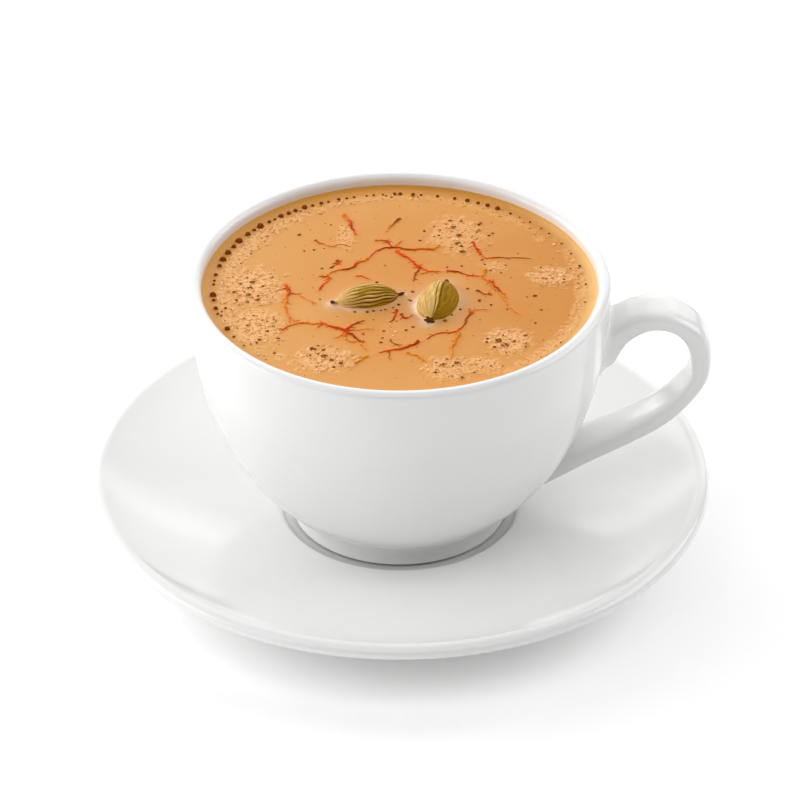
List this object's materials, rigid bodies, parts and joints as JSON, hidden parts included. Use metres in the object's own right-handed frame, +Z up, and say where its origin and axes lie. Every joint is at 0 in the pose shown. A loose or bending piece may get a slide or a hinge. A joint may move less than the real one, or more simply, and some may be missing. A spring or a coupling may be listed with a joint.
{
  "type": "cup of masala chai on a saucer",
  "caption": "Round white porcelain tea cup with a loop handle on its saucer, filled to the brim with milky spiced tea topped with cardamom pods and saffron.",
  "frame": {"origin": "middle of the saucer's foot ring, on the surface that it stands on", "axes": "+Z up, +X out through the cup's handle, -Y towards the viewer of the picture"},
  "size_m": [0.155, 0.155, 0.0761],
  "materials": {
    "porcelain": "gloss",
    "chai": "gloss",
    "cardamom": "matte",
    "saffron": "satin",
    "spice": "matte"
  },
  "bodies": {
    "root": {"saucer": "porcelain", "cup": "porcelain", "chai": "chai", "cardamom_pod_left": "cardamom", "cardamom_pod_right": "cardamom"}
  },
  "joints": []
}
